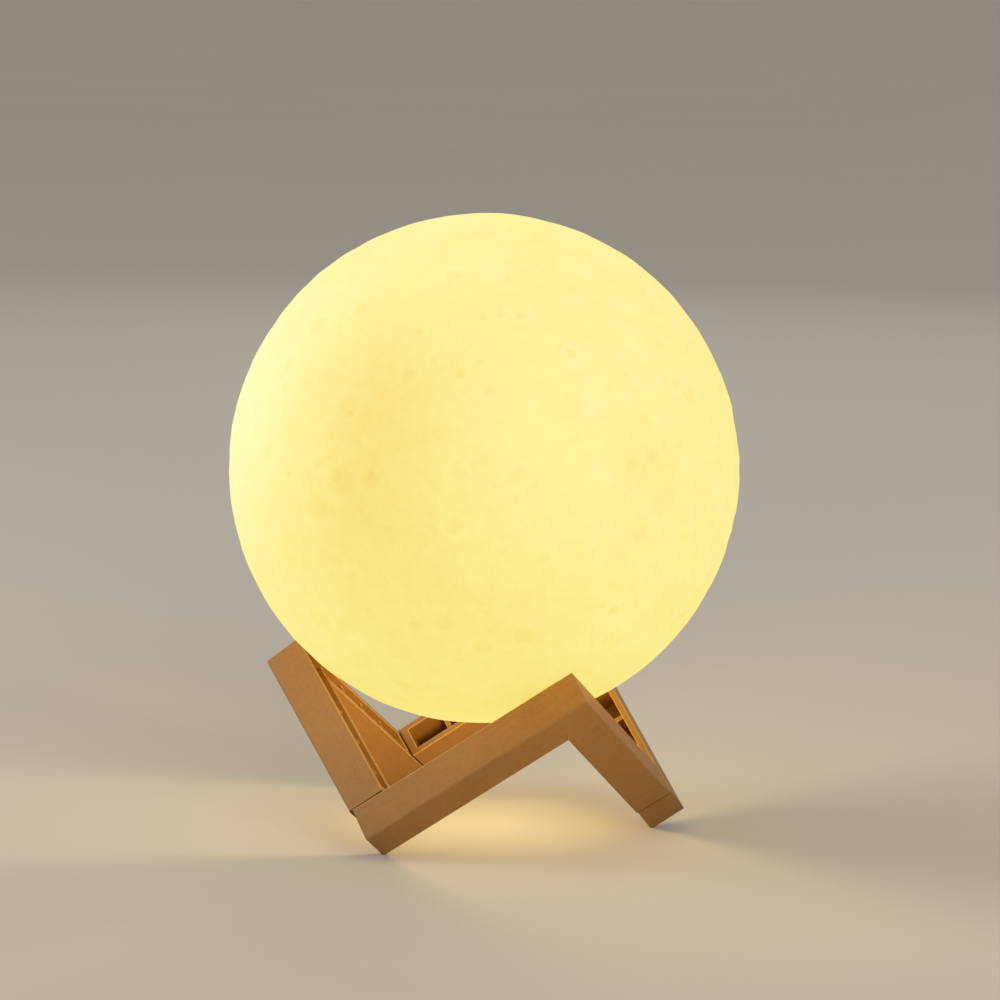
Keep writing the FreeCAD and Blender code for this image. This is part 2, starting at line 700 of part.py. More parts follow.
def make_light_pipe(doc):
    """Clear rod that shows the charging light, with a collar on the cover's inner face."""
    place = ("pipe_across", "pipe_along")
    rod = add_cylinder(doc, "pipe_rod", "pipe_radius", "-cover_thick",
                       "signal_level - signal_gap", *place)
    collar = add_cylinder(doc, "pipe_ring", "pipe_radius + pipe_collar", "0", "pipe_collar", *place)
    return join(doc, "light_pipe", [rod, collar])


def make_charge_light(doc):
    """Small light under the control board."""
    return add_box(
        doc, "charge_light",
        ("pipe_across - signal_length / 2", "pipe_along - signal_width / 2",
         "seat_level + signal_level"),
        ("pipe_across + signal_length / 2", "pipe_along + signal_width / 2",
         "seat_level + board_level"))


def make_socket_shell(doc):
    """Sheet-metal case of the charging socket, open downwards."""
    half = "socket_width / 2"
    low_along = "-socket_along - socket_depth / 2"
    high_along = "-socket_along + socket_depth / 2"
    mouth = "seat_level - cover_thick + socket_inset"
    block = add_box(doc, "socket_block", (f"-{half}", low_along, mouth),
                    (half, high_along, "seat_level + board_level"))
    hollow = add_box(
        doc, "socket_hollow",
        (f"-{half} + socket_wall", f"{low_along} + socket_wall", f"{mouth} - 1"),
        (f"{half} - socket_wall", f"{high_along} - socket_wall",
         "seat_level + board_level - socket_wall"))
    return cut(doc, "socket_shell", block, hollow)


def make_socket_tongue(doc):
    """Moulded tongue inside the charging socket."""
    return add_box(
        doc, "socket_tongue",
        ("-tongue_width / 2", "-socket_along - tongue_thick / 2",
         "seat_level - cover_thick + socket_inset + tongue_inset"),
        ("tongue_width / 2", "-socket_along + tongue_thick / 2",
         "seat_level + board_level - socket_wall"))


def make_control_chips(doc):
    """Touch circuit, charging circuit, coil and capacitor on the control board."""
    chips = []
    for name, turn, height in BOARD_PARTS:
        across, along = f"chip_ring * cos({turn})", f"chip_ring * sin({turn})"
        chips.append(add_box(
            doc, name,
            (f"{across} - chip_side / 2", f"{along} - chip_side / 2", "seat_level + board_top"),
            (f"{across} + chip_side / 2", f"{along} + chip_side / 2",
             f"seat_level + board_top + {height}")))
    chips.append(add_cylinder(
        doc, "capacitor", "capacitor_radius", "board_top", "board_top + capacitor_height",
        f"chip_ring * cos({CAPACITOR_TURN})", f"chip_ring * sin({CAPACITOR_TURN})"))
    return group(doc, "control_chips", chips)


def make_battery(doc):
    """Flat lithium cell that hangs from the housing's top on a foam pad."""
    low = ("-cell_width / 2", "cell_back - cell_thick / 2", "seat_level + cell_level")
    high = ("cell_width / 2", "cell_back + cell_thick / 2", "seat_level + floor_level - pad_thick")
    return add_box(doc, "battery_cell", low, high)


def make_battery_pad(doc):
    """Foam pad between the cell and the housing's top."""
    low = ("-cell_width / 2 + pad_inset", "cell_back - cell_thick / 2 + pad_inset",
           "seat_level + floor_level - pad_thick")
    high = ("cell_width / 2 - pad_inset", "cell_back + cell_thick / 2 - pad_inset",
            "seat_level + floor_level")
    return add_box(doc, "battery_pad", low, high)


def make_parts(doc):
    """Every sub-part of the lamp."""
    parts = [make_leg(doc, index) for index in range(len(LEG_NAMES))]
    parts += [make_moon_shell(doc), make_base_housing(doc), make_base_cover(doc)]
    parts += [make_control_board(doc), make_control_chips(doc)]
    parts += [make_touch_plate(doc), make_touch_contact(doc)]
    parts += [make_light_pipe(doc), make_charge_light(doc)]
    parts += [make_socket_shell(doc), make_socket_tongue(doc)]
    parts += [make_battery(doc), make_battery_pad(doc)]
    parts += [make_light_board(doc), make_lights(doc)]
    parts.append(make_screws(doc, "cover_screws", post_spots(doc), "-cover_thick + head_height",
                             "cover_thick - head_height", upwards=True))
    parts.append(make_screws(doc, "board_screws", boss_spots(doc), "board_level", "board_thick",
                             upwards=True))
    parts.append(make_screws(doc, "light_board_screws", post_spots(doc), "light_level",
                             "light_board_thick", upwards=False))
    parts.append(make_leads(doc, "battery_leads", cell_lead_spots(), "board_level - wire_end",
                            "cell_level", "board_top", joint_upwards=True))
    parts.append(make_leads(doc, "light_leads", lead_spots(), "board_level - wire_end",
                            "light_level + wire_end", "light_level", joint_upwards=True))
    return parts


def check_document(doc, parts):
    """Every object is up to date, and every sub-part is a sound solid."""
    for item in doc.Objects:
        if "Invalid" in item.State or "Error" in item.State:
            raise RuntimeError(f"{item.Label} is {item.State}")
    for part in parts:
        if part.Shape.isNull() or not part.Shape.isValid() or not part.Shape.Solids:
            raise RuntimeError(f"{part.Label} has no sound shape")


def main():
    """Build the document, check it and write one file for each sub-part."""
    doc = FreeCAD.newDocument("moon_lamp")
    make_sheet(doc)
    make_poses(doc)
    make_derived(doc)
    parts = make_parts(doc)
    doc.recompute()
    check_document(doc, parts)
    os.makedirs("parts", exist_ok=True)
    for part in parts:
        box = part.Shape.BoundBox
        print(f"{part.Label}: {len(part.Shape.Solids)} solids, {part.Shape.Volume:.1f} mm3,"
              f" z {box.ZMin:.2f} to {box.ZMax:.2f}")
        part.Shape.exportStep(f"parts/{part.Label}.step")
    print(f"moon's centre at z {doc.Derived.globe_level:.3f}")


main()
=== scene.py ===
"""Moon lamp: a glowing printed moon on a stand of three moulded legs, in a plain pale studio."""

import logging
import math
from dataclasses import dataclass
from enum import Enum
from typing import Protocol

import bpy
import numpy as np
from mathutils import Matrix, Vector


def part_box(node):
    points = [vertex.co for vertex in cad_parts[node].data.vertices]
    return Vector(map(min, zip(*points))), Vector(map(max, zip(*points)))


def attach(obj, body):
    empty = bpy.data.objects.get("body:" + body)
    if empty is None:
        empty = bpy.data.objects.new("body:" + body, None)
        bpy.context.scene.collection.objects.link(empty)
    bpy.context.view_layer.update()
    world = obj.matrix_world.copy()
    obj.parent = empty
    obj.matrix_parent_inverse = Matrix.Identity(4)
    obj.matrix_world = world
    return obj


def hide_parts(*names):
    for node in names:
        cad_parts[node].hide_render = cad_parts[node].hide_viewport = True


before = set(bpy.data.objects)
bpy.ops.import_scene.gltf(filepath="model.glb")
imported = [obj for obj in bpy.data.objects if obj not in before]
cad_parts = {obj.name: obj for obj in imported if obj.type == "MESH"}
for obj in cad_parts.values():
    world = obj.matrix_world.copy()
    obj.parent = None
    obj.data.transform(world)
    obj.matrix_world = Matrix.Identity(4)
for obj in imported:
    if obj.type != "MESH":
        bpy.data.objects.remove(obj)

LOG = logging.getLogger("moon_lamp")
MM = 0.001
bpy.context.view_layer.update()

UP = (0.0, 0.0, 1.0)

Triple = tuple[float, float, float]
Colour = Triple
Socket = bpy.types.NodeSocket


class Axis(Enum):
    """Axis of the part's frame along which a texture is drawn out."""

    X = 0
    Y = 1
    Z = 2


class Blend(Enum):
    """Way in which two colours are put together, as Blender's Mix node calls it."""

    OVER = "MIX"
    TINT = "MULTIPLY"


# ---------------------------------------------------------------- node graphs


class Graph:
    """Node tree of one material, with short ways to add and join nodes."""

    # Repeat of the Wave node at a scale of 1.
    WAVE_REPEAT = 0.314
    # Places of the Mix node's colour sockets.
    MIX_SHARE, MIX_FIRST, MIX_SECOND, MIX_RESULT = 0, 6, 7, 2
    # Agreement of the rounded normal with the true one on a sharp edge, and off it.
    SHARP, FLAT = 0.86, 0.998
    BEVEL_SAMPLES = 6

    def __init__(self, name: str) -> None:
        """Start a material with an empty tree.

        Args:
            name: Name of the material.
        """
        self.material = bpy.data.materials.new(name)
        self.material.use_nodes = True
        self.tree = self.material.node_tree
        self.tree.nodes.clear()

    def add(self, kind: str, **settings: object) -> bpy.types.Node:
        """Add a node and set its properties.

        Args:
            kind: Blender's node type without the ShaderNode prefix.
            settings: Properties of the node by name.

        Returns:
            The new node.
        """
        node = self.tree.nodes.new(f"ShaderNode{kind}")
        for key, setting in settings.items():
            setattr(node, key, setting)
        return node

    def feed(self, node: bpy.types.Node, key: str | int, source: object) -> None:
        """Link a socket into an input, or set the input to a constant.

        Args:
            node: Node that receives.
            key: Name or place of its input.
            source: Output socket, number, vector or colour.
        """
        socket = node.inputs[key]
        if isinstance(source, Socket):
            self.tree.links.new(source, socket)
        elif socket.type == "RGBA":
            socket.default_value = (*source, 1.0)
        else:
            socket.default_value = source

    def place(self) -> Socket:
        """Position on the object, in metres in the part's own frame."""
        return self.add("TexCoord").outputs["Object"]

    def turned(self, x: Vector, y: Vector, z: Vector) -> Socket:
        """Position measured along three directions of a piece's own.

        Args:
            x: First direction.
            y: Second direction.
            z: Third direction.

        Returns:
            Vector socket with the three distances.
        """
        joined = self.add("CombineXYZ")
        for key, direction in enumerate((x, y, z)):
            self.feed(joined, key, self.along(direction))
        return joined.outputs["Vector"]

    def stretched(self, place: Socket, scale: Triple) -> Socket:
        """Position multiplied by a factor along each axis.

        Args:
            place: Position to stretch.
            scale: Factors along X, Y and Z.

        Returns:
            Vector socket of the stretched position.
        """
        mapping = self.add("Mapping", vector_type="POINT")
        self.feed(mapping, "Vector", place)
        self.feed(mapping, "Scale", scale)
        return mapping.outputs["Vector"]

    def noise(self, place: Socket, size: float, detail: float = 3.0,
              share: float = 0.5) -> Socket:
        """Cloudy noise.

        Args:
            place: Position to read it at.
            size: Size of one cloud, in metres.
            detail: Octaves of finer noise.
            share: Strength of each octave against the one before it.

        Returns:
            Socket from 0 to 1.
        """
        node = self.add("TexNoise")
        self.feed(node, "Vector", place)
        self.feed(node, "Scale", 1.0 / size)
        self.feed(node, "Detail", detail)
        self.feed(node, "Roughness", share)
        return node.outputs["Fac"]

    def bands(self, place: Socket, axis: Axis, width: float, wobble: float) -> Socket:
        """Parallel bands across an axis.

        Args:
            place: Position to read them at.
            axis: Axis that the bands follow one another along.
            width: Width of one band, in metres.
            wobble: How far they waver.

        Returns:
            Socket from 0 to 1.
        """
        node = self.add("TexWave", bands_direction=axis.name)
        self.feed(node, "Vector", place)
        self.feed(node, "Scale", self.WAVE_REPEAT / width)
        self.feed(node, "Distortion", wobble)
        self.feed(node, "Detail", 2.0)
        return node.outputs["Fac"]

    def ramp(self, value: Socket, *stops: tuple[float, Colour]) -> Socket:
        """Colour that changes with a value.

        Args:
            value: Socket that picks the colour.
            stops: Pairs of value and colour.

        Returns:
            Colour socket.
        """
        node = self.add("ValToRGB")
        self.feed(node, "Fac", value)
        elements = node.color_ramp.elements
        while len(elements) < len(stops):
            elements.new(1.0)
        for element, (spot, colour) in zip(elements, stops):
            element.position = spot
            element.color = (*colour, 1.0)
        return node.outputs["Color"]

    def span(self, value: Socket, low: float, high: float,
             start: float = 0.0, end: float = 1.0) -> Socket:
        """Value between two ends spread over a range, and held past them.

        Args:
            value: Socket to spread.
            low: Result at the start.
            high: Result at the end.
            start: Value that gives the low result.
            end: Value that gives the high result.

        Returns:
            Number socket.
        """
        node = self.add("MapRange")
        self.feed(node, "Value", value)
        self.feed(node, "From Min", start)
        self.feed(node, "From Max", end)
        self.feed(node, "To Min", low)
        self.feed(node, "To Max", high)
        return node.outputs["Result"]

    def dot(self, first: Socket, second: Socket | Triple) -> Socket:
        """One vector measured along another.

        Args:
            first: Vector to measure.
            second: Unit direction.

        Returns:
            Number socket.
        """
        node = self.add("VectorMath", operation="DOT_PRODUCT")
        self.feed(node, 0, first)
        self.feed(node, 1, second)
        return node.outputs["Value"]

    def along(self, direction: Vector | Triple) -> Socket:
        """Distance along one direction, in metres from the part's origin."""
        return self.dot(self.place(), tuple(direction))

    def joined(self, operation: str, first: object, second: object) -> Socket:
        """Two values put together by one sum.

        Args:
            operation: Name of the sum, as Blender's Math node calls it.
            first: Socket or number.
            second: Socket or number.

        Returns:
            Number socket.
        """
        node = self.add("Math", operation=operation)
        self.feed(node, 0, first)
        self.feed(node, 1, second)
        return node.outputs["Value"]

    def blended(self, share: object, first: object, second: object, blend: Blend = Blend.OVER) -> Socket:
        """Two colours put together.

        Args:
            share: Socket or number, 0 for the first colour and 1 for the full blend.
            first: Colour or colour socket.
            second: Colour or colour socket.
            blend: Way in which the second is laid on the first.

        Returns:
            Colour socket.
        """
        node = self.add("Mix", data_type="RGBA", blend_type=blend.value)
        self.feed(node, self.MIX_SHARE, share)
        self.feed(node, self.MIX_FIRST, first)
        self.feed(node, self.MIX_SECOND, second)
        return node.outputs[self.MIX_RESULT]

    def softened(self, width: float) -> tuple[Socket, Socket]:
        """Rounded look of sharp edges.

        Args:
            width: Reach of the rounding, in metres.

        Returns:
            Rounded normal, and a number that is 1 on an edge and 0 off it.
        """
        bevel = self.add("Bevel", samples=self.BEVEL_SAMPLES)
        self.feed(bevel, "Radius", width)
        rounded = bevel.outputs["Normal"]
        kept = self.dot(rounded, self.add("NewGeometry").outputs["Normal"])
        return rounded, self.span(kept, 1.0, 0.0, self.SHARP, self.FLAT)

    def total(self, first: Socket, second: Socket, share: float) -> Socket:
        """First value plus a share of the second.

        Args:
            first: Value kept whole.
            second: Value added in part.
            share: Part of the second value.

        Returns:
            Number socket.
        """
        node = self.add("Math", operation="MULTIPLY_ADD")
        for key, source in enumerate((second, share, first)):
            self.feed(node, key, source)
        return node.outputs["Value"]

    def bump(self, height: Socket, depth: float, strength: float = 1.0,
             normal: Socket | None = None) -> Socket:
        """Fine relief.

        Args:
            height: Height from 0 to 1.
            depth: Height of 1, in metres.
            strength: How much of it shows.
            normal: Normal that the relief is laid over, if not the surface's own.

        Returns:
            Normal socket.
        """
        node = self.add("Bump")
        if normal is not None:
            self.feed(node, "Normal", normal)
        self.feed(node, "Height", height)
        self.feed(node, "Distance", depth)
        self.feed(node, "Strength", strength)
        return node.outputs["Normal"]

    def surface(self, **inputs: object) -> bpy.types.Material:
        """End the tree in a Principled shader.

        Args:
            inputs: Inputs of the shader, with underscores for blanks.

        Returns:
            The finished material.
        """
        shader = self.add("BsdfPrincipled")
        for key, source in inputs.items():
            self.feed(shader, key.replace("_", " "), source)
        output = self.add("OutputMaterial")
        self.tree.links.new(shader.outputs["BSDF"], output.inputs["Surface"])
        return self.material


def shade(colour: Colour, factor: float) -> Colour:
    """Colour with every channel multiplied by a factor."""
    return tuple(channel * factor for channel in colour)


# ---------------------------------------------------------------- finishes


class Finish(Protocol):
    """Look of a surface that can make its material."""

    def make(self) -> bpy.types.Material:
        """Build the material."""


@dataclass(frozen=True)
class GlowingPrint:
    """Translucent printed wall lit from inside, deeper in colour in its seas and pits, and paler in a
    patch of painted daylight on one side.
    """

    name: str = "glowing_print"
    deep: Colour = (0.740, 0.508, 0.004)
    middle: Colour = (0.812, 0.697, 0.157)
    # Palest glow, which the painted daylight on the left side comes near.
    pale: Colour = (0.815, 0.850, 0.400)
    strength: float = 1.0
    daylight: Colour = (0.250, 0.250, 0.235)
    patches: float = 0.13
    patch_size: float = 24 * MM
    mottle: float = 0.30
    mottle_size: float = 6 * MM
    grain: float = 1.1 * MM
    layer: float = 0.35 * MM
    layer_share: float = 0.2
    relief: float = 0.12 * MM

    def make(self) -> bpy.types.Material:
        """Build the material.

        Returns:
            Material whose glow follows the wall's seas and relief.
        """
        graph = Graph(self.name)
        place = graph.place()
        relief = graph.add("Attribute", attribute_name=MoonShell.TONE, attribute_type="GEOMETRY")
        tone = graph.joined("SUBTRACT", relief.outputs["Fac"], 0.5 * (self.patches + self.mottle))
        tone = graph.total(tone, graph.noise(place, self.patch_size, 2.0), self.patches)
        tone = graph.total(tone, graph.noise(place, self.mottle_size, 5.0, 0.8), self.mottle)
        glow = graph.ramp(tone, (0.0, self.deep), (0.5, self.middle), (1.0, self.pale))
        layers = graph.bands(place, Axis.Z, self.layer, 0.6)
        height = graph.total(graph.noise(place, self.grain, 5.0), layers, self.layer_share)
        return graph.surface(
            Base_Color=self.unlit(graph, place), Roughness=0.62, Specular_IOR_Level=0.25,
            Emission_Color=glow, Emission_Strength=self.strength,
            Normal=graph.bump(height, self.relief, 0.6))

    def unlit(self, graph: Graph, place: Socket) -> Socket:
        """Colour of the print without its light, a little uneven."""
        uneven = graph.noise(place, self.mottle_size / 2)
        return graph.ramp(uneven, (0.3, shade(self.daylight, 0.95)), (0.7, self.daylight))


@dataclass(frozen=True)
class LegPlace:
    """Where one leg lies: the directions of its arms, and the face of the next leg that it meets."""

    short: Vector
    long: Vector
    face: Vector
    next_face: Vector
    next_level: float


@dataclass(frozen=True)
class GrainedPlastic:
    """Matt brown moulding with a fine drawn grain, painted glow towards the tips and painted shade
    towards the feet, a painted highlight on the edges that face the moon and painted shade on those that
    face away, and painted shadow in the seams at its joints.
    """

    name: str
    leg: LegPlace
    tan: Colour = (0.380, 0.170, 0.034)
    darkest: float = 0.91
    palest: float = 1.07
    fibre: float = 9 * MM
    draw: float = 9.0
    cloud: float = 14 * MM
    speck: float = 1.3 * MM
    cross_share: float = 0.6
    cloud_share: float = 0.7
    speck_share: float = 0.9
    relief: float = 0.09 * MM
    # From the height low to the height high the colour goes from painted shade near the feet to a painted
    # glow of the moon near the tips.
    low: float = 6 * MM
    high: float = 52 * MM
    painted_foot_shade: Colour = (0.76, 0.80, 0.92)
    painted_glow_tint: Colour = (1.16, 1.12, 1.00)
    # Painted highlight on the edges that face the moon, and painted shade on the edges that face away
    # from it.
    edge: float = 0.60 * MM
    painted_edge_highlight: Colour = (0.86, 0.52, 0.17)
    most_edge_highlight: float = 0.9
    painted_edge_shade: float = 0.55
    most_edge_shade: float = 0.5
    turn_start: float = 0.15
    turn_end: float = 0.55
    # Painted shadow in the seam where the short arm's end meets the next leg.
    line: float = 0.40 * MM
    seam_shadow_strength: float = 0.85
    line_shade: float = 0.16

    def edged(self, graph: Graph, colour: Socket, rounded: Socket, rim: Socket) -> Socket:
        """Colour with a painted highlight on the edges that face the moon, and painted shade on the ones
        that face away.

        Args:
            graph: Tree of the material.
            colour: Colour off the edges.
            rounded: Rounded normal.
            rim: 1 on an edge and 0 off it.

        Returns:
            Colour socket.
        """
        # Which way an edge faces the moon sets its painted highlight or painted shade.
        inward = graph.dot(rounded, tuple(self.leg.face))
        pale = graph.span(inward, 0.0, self.most_edge_highlight, self.turn_start, self.turn_end)
        dark = graph.span(inward, self.most_edge_shade, 0.0, -self.turn_end, -self.turn_start)
        colour = graph.blended(graph.joined("MULTIPLY", rim, pale), colour, self.painted_edge_highlight)
        return graph.blended(graph.joined("MULTIPLY", rim, dark), colour,
                             shade(self.tan, self.painted_edge_shade))

    def seam_shadowed(self, graph: Graph, colour: Socket) -> Socket:
        """Colour with a painted seam shadow at the short arm's end, where it meets the next leg.

        Args:
            graph: Tree of the material.
            colour: Colour off the joint.

        Returns:
            Colour socket.
        """
        # Painted seam shadow, darkest at the joint and fading out from it.
        start = self.leg.next_level + self.line
        near = graph.span(graph.along(self.leg.next_face), 1.0, 0.0, start, start + self.line)
        near = graph.joined("MULTIPLY", near, self.seam_shadow_strength)
        return graph.blended(near, colour, shade(self.tan, self.line_shade))

    def make(self) -> bpy.types.Material:
        """Build the material.

        Returns:
            Material with its grain along the leg.
        """
        graph = Graph(self.name)
        own = graph.turned(self.leg.long, self.leg.short, self.leg.face)
        fibres = graph.noise(graph.stretched(own, (1.0, self.draw, self.draw)), self.fibre, 5.0)
        cross = graph.noise(graph.stretched(own, (self.draw, 1.0, self.draw)), self.fibre, 5.0)
        clouds = graph.noise(own, self.cloud)
        speckle = graph.noise(own, self.speck, 4.0)
        tone = graph.total(fibres, cross, self.cross_share)
        tone = graph.total(tone, clouds, self.cloud_share)
        tone = graph.total(tone, speckle, self.speck_share)
        whole = 1.0 + self.cross_share + self.cloud_share + self.speck_share
        tone = graph.joined("MULTIPLY", tone, 1.0 / whole)
        colour = graph.ramp(tone, (0.40, shade(self.tan, self.darkest)), (0.50, self.tan),
                            (0.60, shade(self.tan, self.palest)))
        # Painted shade near the feet and painted moon glow near the tips, set by height.
        painted_glow_share = graph.span(graph.along(UP), 0.0, 1.0, self.low, self.high)
        tint = graph.ramp(painted_glow_share, (0.0, self.painted_foot_shade), (1.0, self.painted_glow_tint))
        colour = graph.blended(1.0, colour, tint, Blend.TINT)
        rounded, rim = graph.softened(self.edge)
        colour = self.seam_shadowed(graph, self.edged(graph, colour, rounded, rim))
        height = graph.total(speckle, fibres, 0.8)
        return graph.surface(
            Base_Color=colour, Roughness=graph.span(clouds, 0.44, 0.58),
            Specular_IOR_Level=0.34, Normal=graph.bump(height, self.relief, 0.55, rounded))


@dataclass(frozen=True)
class Moulding:
    """Satin or matt moulded plastic with a fine spark-eroded texture."""

    name: str
    colour: Colour
    rough: float = 0.42
    grain: float = 0.5 * MM
    cloud: float = 9 * MM
    relief: float = 0.03 * MM

    def make(self) -> bpy.types.Material:
        """Build the material.

        Returns:
            Material with slight changes of tone and gloss.
        """
        graph = Graph(self.name)
        place = graph.place()
        clouds = graph.noise(place, self.cloud)
        fine = graph.noise(place, self.grain, 2.0)
        colour = graph.ramp(clouds, (0.3, shade(self.colour, 0.94)), (0.7, self.colour))
        return graph.surface(
            Base_Color=colour, Roughness=graph.span(clouds, self.rough - 0.05, self.rough + 0.07),
            Normal=graph.bump(fine, self.relief, 0.6))


@dataclass(frozen=True)
class DrawnMetal:
    """Metal with fine parallel lines from drawing or brushing."""

    name: str
    colour: Colour
    axis: Axis = Axis.X
    rough: float = 0.30
    line: float = 2 * MM
    across: float = 14.0
    lengthwise: float = 0.5
    relief: float = 0.02 * MM

    def make(self) -> bpy.types.Material:
        """Build the material.

        Returns:
            Metal with lines along one axis.
        """
        graph = Graph(self.name)
        scale = [self.across] * 3
        scale[self.axis.value] = self.lengthwise
        lines = graph.noise(graph.stretched(graph.place(), tuple(scale)), self.line, 5.0)
        colour = graph.ramp(lines, (0.3, shade(self.colour, 0.86)), (0.7, self.colour))
        return graph.surface(
            Base_Color=colour, Metallic=1.0,
            Roughness=graph.span(lines, self.rough - 0.07, self.rough + 0.10),
            Normal=graph.bump(lines, self.relief, 0.7))


@dataclass(frozen=True)
class CoatedBoard:
    """Circuit board: coated, with lighter tracks under the coat."""

    name: str
    coat: Colour
    track: Colour
    pitch: float = 1.3 * MM
    winding: float = 6.0
    relief: float = 0.02 * MM

    def make(self) -> bpy.types.Material:
        """Build the material.

        Returns:
            Coated board with winding tracks.
        """
        graph = Graph(self.name)
        tracks = graph.bands(graph.place(), Axis.X, self.pitch, self.winding)
        colour = graph.ramp(tracks, (0.55, self.coat), (0.62, self.track))
        return graph.surface(
            Base_Color=colour, Roughness=0.34, Coat_Weight=0.4,
            Normal=graph.bump(tracks, self.relief, 0.6))


@dataclass(frozen=True)
class ClearRod:
    """Clear moulded plastic."""

    name: str
    tint: Colour = (0.92, 0.96, 0.97)
    ripple: float = 1.5 * MM
    relief: float = 0.01 * MM

    def make(self) -> bpy.types.Material:
        """Build the material.

        Returns:
            Clear plastic with a slightly uneven surface.
        """
        graph = Graph(self.name)
        uneven = graph.noise(graph.place(), self.ripple, 2.0)
        return graph.surface(
            Base_Color=self.tint, Roughness=graph.span(uneven, 0.08, 0.16),
            Transmission_Weight=0.85, IOR=1.49, Normal=graph.bump(uneven, self.relief, 0.5))


@dataclass(frozen=True)
class CoveredWire:
    """Insulated leads with bright solder at their ends."""

    name: str
    cover: Colour
    solder: Colour
    low: float
    high: float
    grain: float = 0.7 * MM
    relief: float = 0.02 * MM

    def make(self) -> bpy.types.Material:
        """Build the material.

        Returns:
            Wire colour with solder inside a range of heights.
        """
        graph = Graph(self.name)
        level = graph.along(UP)
        inside = graph.joined("MULTIPLY", graph.joined("GREATER_THAN", level, self.low),
                              graph.joined("LESS_THAN", level, self.high))
        colour = graph.ramp(inside, (0.4, self.cover), (0.6, self.solder))
        fine = graph.noise(graph.place(), self.grain, 2.0)
        return graph.surface(
            Base_Color=colour, Metallic=inside, Roughness=0.38,
            Normal=graph.bump(fine, self.relief, 0.5))


# ---------------------------------------------------------------- camera


@dataclass(frozen=True)
class Photograph:
    """Viewpoint and lens, in the part's frame."""

    place: Triple = (-0.62841, -1.15335, 0.28220)
    bearing: float = 28.797
    dip: float = 8.012
    tilt: float = 1.001
    reach_px: float = 4500.0
    frame_px: float = 1000.0
    sensor_mm: float = 36.0

    def axes(self) -> tuple[Vector, Vector, Vector]:
        """Directions of the picture.

        Returns:
            Right, up and forward.
        """
        bearing, dip, tilt = (math.radians(angle) for angle in (self.bearing, self.dip, self.tilt))
        forward = Vector((math.sin(bearing) * math.cos(dip), math.cos(bearing) * math.cos(dip),
                          -math.sin(dip)))
        level = Vector((math.cos(bearing), -math.sin(bearing), 0.0))
        upright = level.cross(forward)
        right = math.cos(tilt) * level + math.sin(tilt) * upright
        up = math.cos(tilt) * upright - math.sin(tilt) * level
        return right, up, forward

    def ray(self, across: float, down: float) -> Vector:
        """Direction of sight through a pixel.

        Args:
            across: Pixels from the left edge.
            down: Pixels from the top edge.

        Returns:
            Unit direction in the part's frame.
        """
        right, up, forward = self.axes()
        half = self.frame_px / 2
        sight = forward + right * ((across - half) / self.reach_px)
        return (sight - up * ((down - half) / self.reach_px)).normalized()

    def build(self) -> bpy.types.Object:
        """Make the camera and look through it.

        Returns:
            The camera object.
        """
        right, up, forward = self.axes()
        data = bpy.data.cameras.new("photo_camera")
        data.sensor_width = self.sensor_mm
        data.lens = self.sensor_mm * self.reach_px / self.frame_px
        camera = bpy.data.objects.new("photo_camera", data)
        rotation = Matrix((right, up, -forward)).transposed().to_4x4()
        camera.matrix_world = Matrix.Translation(self.place) @ rotation
        bpy.context.collection.objects.link(camera)
        bpy.context.scene.camera = camera
        return camera


# ---------------------------------------------------------------- the moon


@dataclass(frozen=True)
class SeenCrater:
    """Pit where the picture shows one: pixel place, and radius and depth in millimetres."""

    across: float
    down: float
    radius: float
    depth: float = 0.22


# Places picked on the 1000 by 1000 picture.
SEEN_CRATERS = (
    SeenCrater(454, 276, 2.7), SeenCrater(423, 299, 1.6, 0.15), SeenCrater(462, 299, 1.6),
    SeenCrater(462, 317, 1.8, 0.26), SeenCrater(482, 317, 1.6, 0.26), SeenCrater(501, 313, 1.7, 0.30),
    SeenCrater(521, 315, 2.1, 0.30), SeenCrater(500, 258, 1.1, 0.15), SeenCrater(509, 279, 1.0, 0.15),
    SeenCrater(469, 289, 1.0, 0.15), SeenCrater(571, 353, 2.0, 0.30), SeenCrater(588, 348, 1.5, 0.30),
    SeenCrater(461, 373, 2.1, 0.30), SeenCrater(490, 392, 2.6), SeenCrater(434, 360, 1.4),
    SeenCrater(465, 341, 1.2, 0.15), SeenCrater(498, 340, 1.2, 0.12), SeenCrater(419, 331, 1.7),
    SeenCrater(340, 334, 1.2, 0.30), SeenCrater(361, 308, 2.5), SeenCrater(625, 375, 1.5),
    SeenCrater(578, 381, 1.2, 0.15), SeenCrater(537, 372, 1.1, 0.15), SeenCrater(646, 420, 3.0, 0.18),
    SeenCrater(653, 456, 3.0, 0.20), SeenCrater(631, 464, 2.7, 0.20), SeenCrater(517, 475, 3.3, 0.20),
    SeenCrater(613, 611, 2.4, 0.26), SeenCrater(350, 414, 1.5), SeenCrater(290, 361, 1.6, 0.30),
    SeenCrater(286.5, 368, 1.9, 0.38), SeenCrater(283, 375, 1.6, 0.30), SeenCrater(287.5, 475, 1.3, 0.34),
    SeenCrater(340, 482, 5.0, 0.16), SeenCrater(315, 508, 4.6, 0.16), SeenCrater(690, 394, 3.6, 0.20),
    SeenCrater(684, 537, 2.8, 0.20), SeenCrater(454, 526, 3.0, 0.16), SeenCrater(524, 635, 3.5, 0.16),
)


@dataclass(frozen=True)
class SeenSea:
    """Broad tone of the glow: pixel place, reach in degrees, and how much paler it is; a paler one is
    painted daylight.
    """

    across: float
    down: float
    reach: float
    paler: float


# The one paler sea, at 240 across and 400 down, is painted daylight on the moon's left side; the others
# are deeper seas of the glow.
SEEN_SEAS = (SeenSea(378, 400, 20.0, -0.345), SeenSea(352, 520, 17.0, -0.21),
             SeenSea(455, 610, 26.0, -0.17), SeenSea(240, 400, 30.0, 0.34),
             SeenSea(650, 470, 8.0, -0.12))


